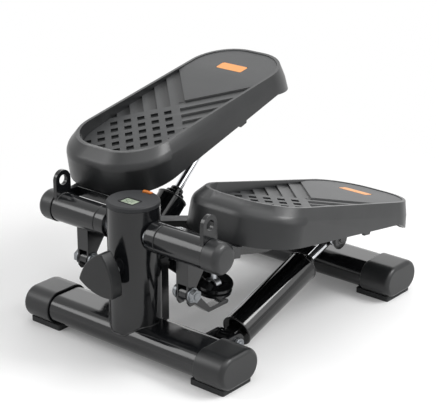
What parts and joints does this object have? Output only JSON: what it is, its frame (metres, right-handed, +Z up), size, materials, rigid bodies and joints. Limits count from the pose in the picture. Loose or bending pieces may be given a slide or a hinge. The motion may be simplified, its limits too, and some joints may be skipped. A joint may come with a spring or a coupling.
{
  "type": "mini stepper",
  "caption": "Compact stepping exercise machine: foot pedals hinged behind a display post, held by oil dampers and tied by a rocking beam so one rises as the other sinks.",
  "frame": {"origin": "on the floor under the middle of the whole outline", "axes": "+X to the user's right as they face the display, +Y from the display post to the heels, +Z up"},
  "size_m": [0.3816, 0.4786, 0.3139],
  "materials": {
    "black_steel": "gloss black paint",
    "zinc": "zinc plate",
    "chrome": "polished chrome",
    "grey_plastic": "fine-grained moulding",
    "tread_plastic": "ribbed moulding",
    "rubber": "matt",
    "damper_paint": "high-gloss black",
    "console_plastic": "smooth",
    "lcd_window": "clear window over a grey-green display",
    "orange_plastic": "smooth",
    "orange_label": "printed film"
  },
  "bodies": {
    "base": {"front_bar": "black_steel", "rear_bar": "black_steel", "cap_fl": "grey_plastic", "cap_fr": "grey_plastic", "cap_rl": "grey_plastic", "cap_rr": "grey_plastic", "pad_fl": "rubber", "pad_fr": "rubber", "pad_rl": "rubber", "pad_rr": "rubber", "backbone": "black_steel", "post": "black_steel", "gusset": "black_steel", "axle": "zinc", "sleeve_r": "black_steel", "sleeve_l": "black_steel", "lug_r": "black_steel", "lug_l": "black_steel", "hanger_r": "black_steel", "hanger_l": "black_steel", "hanger_bolt_r": "zinc", "hanger_bolt_l": "zinc", "stop_arm_r": "black_steel", "stop_arm_l": "black_steel", "damper_mount_r": "black_steel", "damper_mount_l": "black_steel", "lower_pin_r": "zinc", "lower_pin_l": "zinc", "console": "console_plastic", "lcd": "lcd_window", "pivot_bolt": "zinc"},
    "right_pedal": {"tray_r": "grey_plastic", "tread_r": "tread_plastic", "label_r": "orange_label", "yoke_r": "black_steel", "hub_cap_r": "grey_plastic", "clevis_r": "black_steel", "upper_pin_r": "black_steel"},
    "left_pedal": {"tray_l": "grey_plastic", "tread_l": "tread_plastic", "label_l": "orange_label", "yoke_l": "black_steel", "hub_cap_l": "grey_plastic", "clevis_l": "black_steel", "upper_pin_l": "black_steel"},
    "rocker": {"rocker": "black_steel"},
    "right_strut": {"strut_r": "zinc"},
    "left_strut": {"strut_l": "zinc"},
    "right_cylinder": {"cylinder_r": "damper_paint", "gland_r": "damper_paint"},
    "left_cylinder": {"cylinder_l": "damper_paint", "gland_l": "damper_paint"},
    "right_rod": {"rod_r": "chrome"},
    "left_rod": {"rod_l": "chrome"},
    "knob": {"knob": "grey_plastic", "knob_shaft": "zinc"},
    "button": {"button": "orange_plastic"}
  },
  "joints": [
    {"name": "right_pedal_hinge", "type": "hinge", "parent": "base", "child": "right_pedal", "pos_m": [0, -0.1713, 0.173], "axis": [1, 0, 0], "range_deg": [0, 25]},
    {"name": "left_pedal_hinge", "type": "hinge", "parent": "base", "child": "left_pedal", "pos_m": [0, -0.1713, 0.173], "axis": [1, 0, 0], "range_deg": [-25, 0]},
    {"name": "rocker_pivot", "type": "hinge", "parent": "base", "child": "rocker", "pos_m": [0, -0.0943, 0.108], "axis": [0, -1, 0], "range_deg": [0, 28.9]},
    {"name": "right_strut_pin", "type": "hinge", "parent": "right_pedal", "child": "right_strut", "pos_m": [0.071, -0.09325, 0.14202], "axis": [1, 0, 0], "range_deg": [-32, 0]},
    {"name": "left_strut_pin", "type": "hinge", "parent": "left_pedal", "child": "left_strut", "pos_m": [-0.071, -0.08747, 0.1779], "axis": [1, 0, 0], "range_deg": [0, 29.5]},
    {"name": "right_damper_foot", "type": "hinge", "parent": "base", "child": "right_cylinder", "pos_m": [0.105, -0.1063, 0.023], "axis": [1, 0, 0], "range_deg": [0, 24.2]},
    {"name": "left_damper_foot", "type": "hinge", "parent": "base", "child": "left_cylinder", "pos_m": [-0.105, -0.1063, 0.023], "axis": [1, 0, 0], "range_deg": [-23.3, 0]},
    {"name": "right_rod_slide", "type": "slide", "parent": "right_cylinder", "child": "right_rod", "axis": [0, 0.9519, 0.3065], "range_m": [0, 0.0712]},
    {"name": "left_rod_slide", "type": "slide", "parent": "left_cylinder", "child": "left_rod", "axis": [0, 0.7513, 0.66], "range_m": [-0.0706, 0]},
    {"name": "knob_turn", "type": "hinge", "parent": "base", "child": "knob", "pos_m": [0, -0.2093, 0.128], "axis": [0, 1, 0], "range_deg": [-180, 180]},
    {"name": "button_press", "type": "slide", "parent": "base", "child": "button", "axis": [0, 0, -1], "range_m": [0, 0.0015], "stiffness_N_per_m": 400}
  ],
  "couplings": [
    {"joint": "left_pedal_hinge", "follows": "right_pedal_hinge", "ratio": -1},
    {"joint": "rocker_pivot", "follows": "right_pedal_hinge", "ratio": 1.152},
    {"joint": "right_strut_pin", "follows": "right_pedal_hinge", "ratio": -1.26},
    {"joint": "left_strut_pin", "follows": "right_pedal_hinge", "ratio": 1.165},
    {"joint": "right_damper_foot", "follows": "right_pedal_hinge", "ratio": 0.9555},
    {"joint": "left_damper_foot", "follows": "right_pedal_hinge", "ratio": -0.9175},
    {"joint": "right_rod_slide", "follows": "right_pedal_hinge", "m_per_rad": 0.1619},
    {"joint": "left_rod_slide", "follows": "right_pedal_hinge", "m_per_rad": -0.16035}
  ]
}
